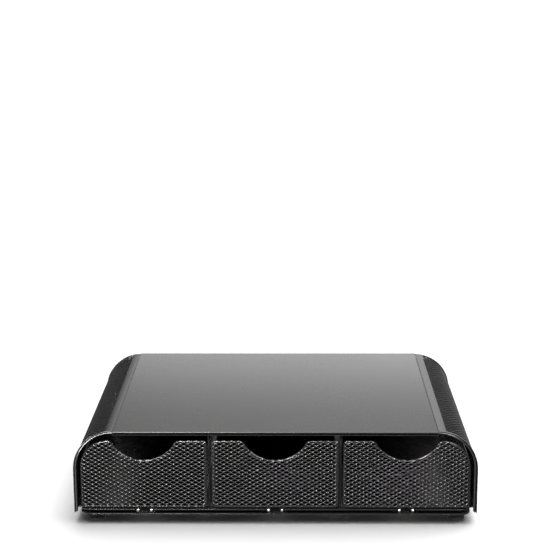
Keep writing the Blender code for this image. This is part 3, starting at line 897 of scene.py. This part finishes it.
def wall_path(solid, inset):
    """The wall's line seen from above, from its front right end to its front left end."""
    lowest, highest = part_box(solid)
    centre, half = (lowest.x + highest.x) / 2, (highest.x - lowest.x) / 2 - inset
    back, radius = highest.y - inset, WALL_CORNER - inset
    line = [(half, lowest.y)] + arc((half - radius, back - radius), radius, 0, 90, 10)
    line += arc((-half + radius, back - radius), radius, 90, 180, 10) + [(-half, lowest.y)]
    return [(centre + x, y) for x, y in line]


def wall_net(solid):
    line = np.array(wall_path(solid, WALL_INSET))
    steps = np.linalg.norm(np.diff(line, axis=0), axis=1)
    along = np.concatenate([[0], np.cumsum(steps)])
    ahead = np.diff(line, axis=0) / steps[:, None]
    outward = np.stack([ahead[:, 1], -ahead[:, 0]], axis=1)
    corner = np.concatenate([outward[:1], (outward[:-1] + outward[1:]) / 2, outward[-1:]])
    corner /= np.linalg.norm(corner, axis=1)[:, None]
    lowest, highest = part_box(solid)

    def put(at, out):
        x, y = (np.interp(at[:, 0], along, line[:, k]) for k in (0, 1))
        nx, ny = (np.interp(at[:, 0], along, corner[:, k]) for k in (0, 1))
        return np.stack([x + nx * out, y + ny * out, at[:, 1]], axis=1)

    area = (0, along[-1], lowest.z, highest.z)
    mesh = expanded_metal(solid, area, put, hold_box(*area), INNER_THICK, fine=False)
    stand_for(solid, add_piece(solid + "_net", mesh))
    return len(mesh.polygons)


for name in ("left", "middle", "right"):
    solid = f"{name}_drawer_wall_mesh"
    faces = wall_net(solid)
    rim = f"{name}_drawer_wall_rim"
    rim_low, rim_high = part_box(rim)
    level = (rim_low.z + rim_high.z) / 2
    line = [(x, y, level) for x, y in wall_path(solid, WALL_INSET)]
    stand_for(rim, wire(rim + "_wire", line, WALL_WIRE))
    print(solid, faces, "faces")

# %% [markdown]
# ## Feet and their screws
# A foot is a turned shape, so its half section is written as radius and height pairs and spun round Z. A
# shallow groove under it grips the desk. The screw head sits up inside the foot, so that it never touches
# the desk. Its socket is six-sided, so a ring of the spin may also follow a polygon instead of a circle.

# %% Turn the feet
TURN_SIDES = 48


def ring_round(radius, z, sides=0):
    """A ring of points round Z: a circle, or a polygon drawn round that circle."""
    ring = []
    for i in range(TURN_SIDES):
        angle = math.tau * i / TURN_SIDES
        reach = radius
        if sides:
            reach /= math.cos(angle % (math.tau / sides) - math.pi / sides)
        ring.append((reach * math.cos(angle), reach * math.sin(angle), z))
    return ring


def turned(name, profile, looped=False):
    """Spins (radius, height) pairs round Z. A looped profile leaves a bore, an open one is capped."""
    rings = [ring_round(*point) for point in profile]
    shape = bmesh.new()
    lines = [[shape.verts.new(point) for point in ring] for ring in rings]
    pairs = list(zip(lines, lines[1:])) + ([(lines[-1], lines[0])] if looped else [])
    for near, far in pairs:
        for i in range(TURN_SIDES):
            shape.faces.new((near[i - 1], near[i], far[i], far[i - 1]))
    if not looped:
        shape.faces.new(lines[0])
        shape.faces.new(lines[-1])
    bmesh.ops.recalc_face_normals(shape, faces=shape.faces)
    mesh = bpy.data.meshes.new(name)
    shape.to_mesh(mesh)
    shape.free()
    return smooth(mesh, 40)


FOOT_BORE = 2.35 * MM  # radius of the hole for the screw's shank
FOOT_RECESS = 4.75 * MM  # and of the wider recess for its head
RECESS_TOP = 5 * MM
GROOVE = 0.5 * MM  # depth of the groove under a foot
SOLE = 2.6 * MM  # rounding between a foot's underside and its side
COLLAR = 0.8 * MM  # rounding at its top


def foot_profile(radius, tall):
    recess = FOOT_RECESS
    under = [(recess, 0), (recess + 1.0 * MM, 0), (recess + 1.2 * MM, GROOVE), (recess + 1.8 * MM, GROOVE)]
    under += [(recess + 2.0 * MM, 0), (radius - SOLE, 0)]
    side = arc((radius - SOLE, SOLE), SOLE, -90, -8, 7)
    waist = [(radius - 0.5 * MM, tall * 0.45), (radius - 0.7 * MM, tall * 0.6)]
    waist.append((radius - 0.3 * MM, tall * 0.72))
    collar = arc((radius - COLLAR, tall - COLLAR), COLLAR, 0, 90, 4)
    inside = [(FOOT_BORE, tall), (FOOT_BORE, RECESS_TOP), (recess, RECESS_TOP)]
    return under + side + waist + collar + inside


SHANK = 2 * MM  # radius of a screw's thread at its crests
CORE = SHANK * 0.82  # and at its roots
THREAD_PITCH = 0.7 * MM
HEAD_TALL = 2.6 * MM
HEAD_ROUND = 1.6 * MM  # rounding of its head's rim


def screw_profile(bottom, top, head):
    """From the bottom of the socket, round the head and up the thread to the tip."""
    points = [(0.5 * MM, bottom + 1.6 * MM), (1.45 * MM, bottom + 1.5 * MM, 6)]
    points += [(1.5 * MM, bottom + 0.2 * MM, 6), (1.95 * MM, bottom)]
    points += arc((head - HEAD_ROUND, bottom + HEAD_ROUND), HEAD_ROUND, -90, 0, 6)
    points += [(head, bottom + HEAD_TALL), (CORE, bottom + HEAD_TALL)]
    z = bottom + HEAD_TALL + 0.6 * MM
    while z < top - 2 * THREAD_PITCH:
        points += [(CORE, z), (SHANK, z + THREAD_PITCH / 2)]
        z += THREAD_PITCH
    return points + [(SHANK * 0.4, top)]


for solid in sorted(frame["nodes"]):
    lowest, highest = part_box(solid)
    middle = (lowest + highest) / 2
    if solid.endswith("_foot"):
        profile = foot_profile((highest.x - lowest.x) / 2, highest.z)
        piece = add_piece(solid + "_turned", turned(solid, profile, looped=True))
        piece.location = (middle.x, middle.y, 0)
        stand_for(solid, piece)
    if solid.endswith("_screw"):
        profile = screw_profile(lowest.z, highest.z, (highest.x - lowest.x) / 2)
        piece = add_piece(solid + "_turned", turned(solid, profile))
        piece.location = (middle.x, middle.y, 0)
        stand_for(solid, piece)
print("feet and screws turned")

# %% [markdown]
# ## Studio
# Black paint shows little but its reflections, so this studio is mostly a matter of what is mirrored where.
# A wide white ceiling lights the table and rims every upper edge. A bright sheet hangs low behind the
# riser, because that is what the satin top mirrors towards the viewer. To the left and in front it is nearly
# dark, which keeps the mesh and the inside deep black. The table is left out of reflections for the same
# reason. Only its glow from steeply below and from the far left is put back, for the underside of strands.

# %% Make the table and the surroundings
TABLE_RADIUS = 60  # metres, far enough that its edge never shows
TABLE_DROP = 0.2 * MM  # below the feet, so that the two surfaces don't share a plane
floor_shape = bmesh.new()
bmesh.ops.create_circle(floor_shape, cap_ends=True, segments=96, radius=TABLE_RADIUS)
floor_mesh = bpy.data.meshes.new("studio_floor")
floor_shape.to_mesh(floor_mesh)
floor_shape.free()
floor = add_piece("studio_floor", floor_mesh)
floor.location.z = -TABLE_DROP
floor.visible_glossy = False
tree, shader, place = start_finish("white_floor")
sweep = noise(tree, place, 3)
feed(shader, Base_Color=grey_mix(tree, sweep, (0.8, 0.8, 0.8), (0.82, 0.82, 0.82)), Roughness=0.9)
floor_mesh.materials.append(finishes["white_floor"])

scene = bpy.context.scene
world = bpy.data.worlds.new("studio")
scene.world = world
world.use_nodes = True
tree = world.node_tree
split = {"Vector": node(tree, "ShaderNodeTexCoord", output="Generated")}
across, behind, above = (node(tree, "ShaderNodeSeparateXYZ", None, split, output=axis) for axis in "XYZ")


def ramp(value, start, end, first, last):
    """Goes from the first level to the last while the value goes from start to end."""
    sockets = {"Value": value, 1: start, 2: end, 3: first, 4: last}
    return node(tree, "ShaderNodeMapRange", None, sockets)


window = ramp(across, -0.24, -0.12, 0.0, 1.05) * ramp(across, 0.14, 0.32, 1.0, 0.3) * (across + 1.0)
sheet = ramp(behind, 0.5, 0.95, 0.0, 1.0) * ramp(above, 0.15, 0.55, 1.5, 0.5)
low_back = ramp(behind, 0.0, 0.7, 0.05, 0.75) * ramp(across, -0.1, 0.15, 0.1, 1.0)
table = ramp(across, -0.9, -0.6, 1.3, 0.0) + ramp(above, -0.9, -0.62, 0.8, 0.0)
ceiling = ramp(above, 0.52, 0.7, 0.03, 4.6) * ramp(across, -0.45, 0.0, 0.15, 1.0)
ceiling = ceiling * ramp(behind, -0.7, 0.0, 0.15, 1.0)
glow = sheet * (above > 0.0) * window + (low_back + table) * (above < 0.0) + ceiling
tree.links.new(glow.socket, tree.nodes["Background"].inputs["Strength"])
tree.nodes["Background"].inputs["Color"].default_value = (1, 1, 1, 1)
scene.view_settings.view_transform = "Standard"
print("table and surroundings ready")

# %% [markdown]
# ## Lamps
# The key lamp stands high in front on the left and draws the bright line along the hem. A weaker one stands
# on the right. Both are flagged off the table and off what lies behind the mesh, so that they can be strong
# enough for black paint and still leave a shadow and a dark inside. Two more light one kind of piece each:
# a low one on the left follows the bead round the bend, and one in front draws the glints on the drawer
# fronts.

# %% Place the lamps
LAMP_AIM = Vector((0, -0.1, 0.08))  # the middle of the riser's front
flagged = bpy.data.collections.new("flagged_off")
inner_parts = ("back_panel", "side_mesh", "liner", "drawer_floor", "wall_mesh", "front_header")
trims, nets = (bpy.data.collections.new(name) for name in ("edge_trims", "front_nets"))
for thing in scene.objects:
    if thing is floor or any(word in thing.name for word in inner_parts):
        flagged.objects.link(thing)
    if thing.name.endswith("_channel_lips"):
        trims.objects.link(thing)
    if thing.name.endswith("_front_mesh_net"):
        nets.objects.link(thing)
for link in flagged.collection_objects:
    link.light_linking.link_state = "EXCLUDE"


def soft_lamp(name, place, size, power, receivers):
    """A rectangular lamp that points at the front of the riser and lights only its receivers."""
    lamp = bpy.data.lights.new(name, "AREA")
    lamp.shape = "RECTANGLE"
    lamp.size, lamp.size_y = size
    lamp.energy = power
    stand = bpy.data.objects.new(name, lamp)
    scene.collection.objects.link(stand)
    stand.location = place
    stand.rotation_euler = (LAMP_AIM - stand.location).to_track_quat("-Z", "Y").to_euler()
    stand.light_linking.receiver_collection = receivers


soft_lamp("key_lamp", (-0.6, -1.15, 1.4), (1.0, 0.6), 110, flagged)
soft_lamp("fill_lamp", (0.9, -1.3, 1.1), (0.5, 0.5), 22, flagged)
soft_lamp("bead_lamp", (-1.3, -0.8, 0.6), (0.8, 1.0), 130, trims)
soft_lamp("net_lamp", (-0.7, -1.2, 1.3), (0.6, 0.5), 230, nets)

# %% [markdown]
# ## Camera
# A product picture is taken from a little above and far enough away that the sides run back gently. The
# camera is level but for a tiny roll, and its lens is a short telephoto.

# %% Place the camera
CAMERA_AT = Vector((0.0183, -1.7286, 0.6706))
PITCH, YAW, ROLL = 13.14, -0.654, -0.166  # degrees: down, to the right and about its own axis
camera_data = bpy.data.cameras.new("camera")
camera_data.sensor_width = 36
camera_data.lens = 91.93
camera_data.clip_end = 200
camera = bpy.data.objects.new("camera", camera_data)
scene.collection.objects.link(camera)
pitch, yaw, roll = (math.radians(a) for a in (PITCH, YAW, ROLL))
look = Vector((math.sin(yaw) * math.cos(pitch), math.cos(yaw) * math.cos(pitch), -math.sin(pitch)))
right = Vector((math.cos(yaw), -math.sin(yaw), 0))
up = right.cross(look)
right, up = right * math.cos(roll) + up * math.sin(roll), up * math.cos(roll) - right * math.sin(roll)
facing = Matrix((right, up, -look)).transposed().to_4x4()
camera.matrix_world = Matrix.Translation(CAMERA_AT) @ facing
scene.camera = camera
print("camera at", [round(v, 3) for v in camera.location])
